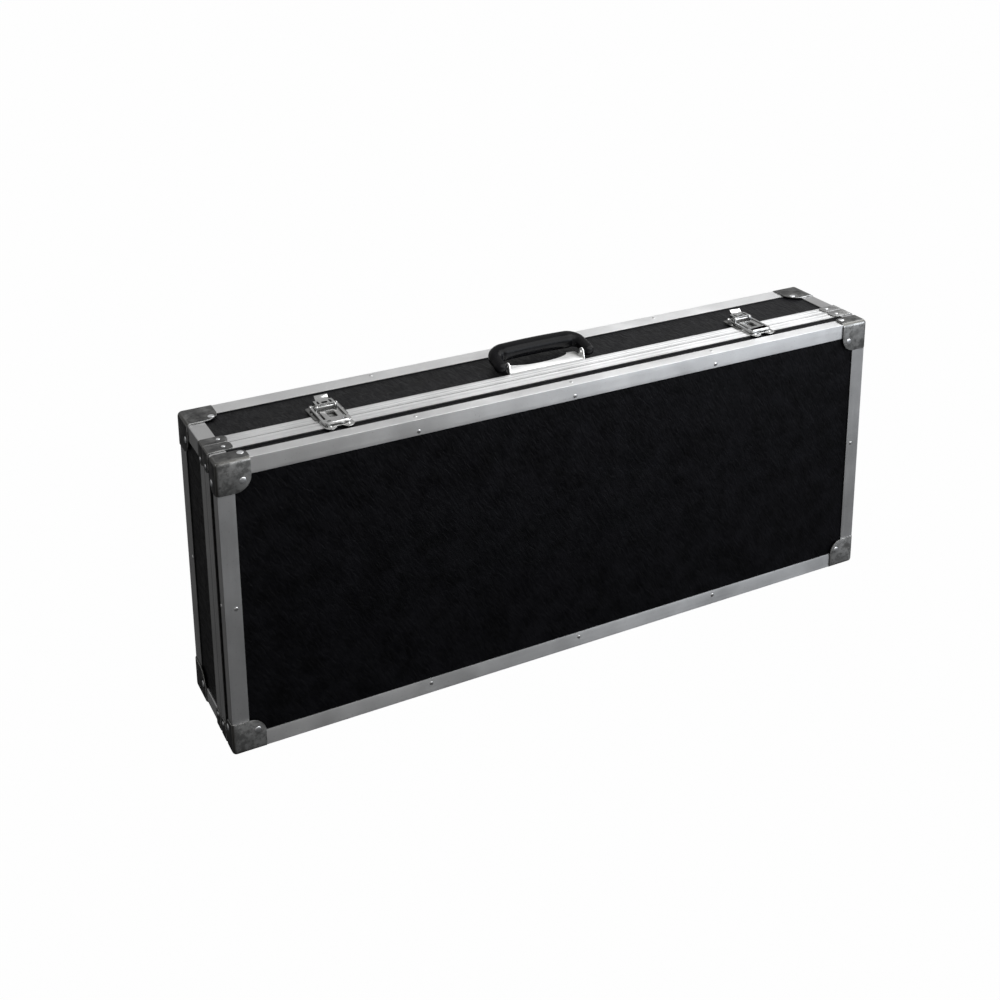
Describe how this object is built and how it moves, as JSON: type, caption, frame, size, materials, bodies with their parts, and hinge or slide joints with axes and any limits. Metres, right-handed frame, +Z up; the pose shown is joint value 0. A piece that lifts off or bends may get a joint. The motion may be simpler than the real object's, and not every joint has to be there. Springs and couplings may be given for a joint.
{
  "type": "keyboard hard case",
  "caption": "Long flat hard case with a hinged lid, black covered boards in aluminium edge profiles, steel corners, draw latches and a folding carrying handle.",
  "frame": {"origin": "middle of the case's footprint, on the surface that it stands on", "axes": "+X along the case, +Y from the lid's face to the back, +Z up, from the hinge side to the handle side"},
  "size_m": [1.0062, 0.1742, 0.4338],
  "materials": {
    "black_covering": "black leatherette with a fine pressed grain, on plywood",
    "aluminium": "drawn, satin anodised",
    "dark_steel": "dark gunmetal plated, half gloss",
    "chrome": "bright chromed stampings and rivets",
    "black_plastic": "moulded, half gloss",
    "foam": "dark grey foam lining",
    "zinc_steel": "zinc plated, satin"
  },
  "bodies": {
    "body": {"body_back_edge_bottom": "aluminium", "body_back_edge_left": "aluminium", "body_back_edge_right": "aluminium", "body_back_edge_top": "aluminium", "body_back_panel": "black_covering", "body_bottom_panel": "black_covering", "body_brace_bottom_left": "dark_steel", "body_brace_bottom_right": "dark_steel", "body_brace_top_left": "dark_steel", "body_brace_top_right": "dark_steel", "body_closure_frame": "aluminium", "body_corner_bottom_left": "dark_steel", "body_corner_bottom_right": "dark_steel", "body_corner_top_left": "dark_steel", "body_corner_top_right": "dark_steel", "body_depth_edge_bottom_left": "aluminium", "body_depth_edge_bottom_right": "aluminium", "body_depth_edge_top_left": "aluminium", "body_depth_edge_top_right": "aluminium", "body_left_panel": "black_covering", "body_pad": "foam", "body_right_panel": "black_covering", "body_top_panel": "black_covering", "handle_base": "chrome", "handle_pin_left": "chrome", "handle_pin_right": "chrome", "hinge_left_body_leaf": "zinc_steel", "hinge_right_body_leaf": "zinc_steel", "latch_left_base": "chrome", "latch_left_lever_pin": "chrome", "latch_right_base": "chrome", "latch_right_lever_pin": "chrome"},
    "lid": {"hinge_left_lid_leaf": "zinc_steel", "hinge_right_lid_leaf": "zinc_steel", "latch_left_keeper": "chrome", "latch_right_keeper": "chrome", "lid_brace_bottom_left": "dark_steel", "lid_brace_bottom_right": "dark_steel", "lid_brace_top_left": "dark_steel", "lid_brace_top_right": "dark_steel", "lid_closure_frame": "aluminium", "lid_corner_bottom_left": "dark_steel", "lid_corner_bottom_right": "dark_steel", "lid_corner_top_left": "dark_steel", "lid_corner_top_right": "dark_steel", "lid_front_edge_bottom": "aluminium", "lid_front_edge_left": "aluminium", "lid_front_edge_right": "aluminium", "lid_front_edge_top": "aluminium", "lid_front_panel": "black_covering", "lid_pad": "foam", "lid_side_boards": "black_covering"},
    "handle": {"handle_grip": "black_plastic"},
    "latch_left_lever": {"latch_left_bail_pin": "chrome", "latch_left_lever": "chrome"},
    "latch_left_bail": {"latch_left_bail": "chrome"},
    "latch_right_lever": {"latch_right_bail_pin": "chrome", "latch_right_lever": "chrome"},
    "latch_right_bail": {"latch_right_bail": "chrome"}
  },
  "joints": [
    {"name": "lid_hinge", "type": "hinge", "parent": "body", "child": "lid", "pos_m": [0, -0.032, 0.0026], "axis": [1, 0, 0], "range_deg": [0, 100]},
    {"name": "handle_pivot", "type": "hinge", "parent": "body", "child": "handle", "pos_m": [-0.005, -0.002, 0.4125], "axis": [1, 0, 0], "range_deg": [0, 75]},
    {"name": "latch_left_lever_pivot", "type": "hinge", "parent": "body", "child": "latch_left_lever", "pos_m": [-0.3305, -0.004, 0.412], "axis": [1, 0, 0], "range_deg": [0, 100]},
    {"name": "latch_left_bail_pivot", "type": "hinge", "parent": "latch_left_lever", "child": "latch_left_bail", "pos_m": [-0.3305, 0.006, 0.4094], "axis": [1, 0, 0], "range_deg": [-121, 0]},
    {"name": "latch_right_lever_pivot", "type": "hinge", "parent": "body", "child": "latch_right_lever", "pos_m": [0.3305, -0.004, 0.412], "axis": [1, 0, 0], "range_deg": [0, 100]},
    {"name": "latch_right_bail_pivot", "type": "hinge", "parent": "latch_right_lever", "child": "latch_right_bail", "pos_m": [0.3305, 0.006, 0.4094], "axis": [1, 0, 0], "range_deg": [-121, 0]}
  ],
  "couplings": [
    {"joint": "latch_left_bail_pivot", "follows": "latch_left_lever_pivot", "ratio": -1.2},
    {"joint": "latch_right_bail_pivot", "follows": "latch_right_lever_pivot", "ratio": -1.2}
  ]
}
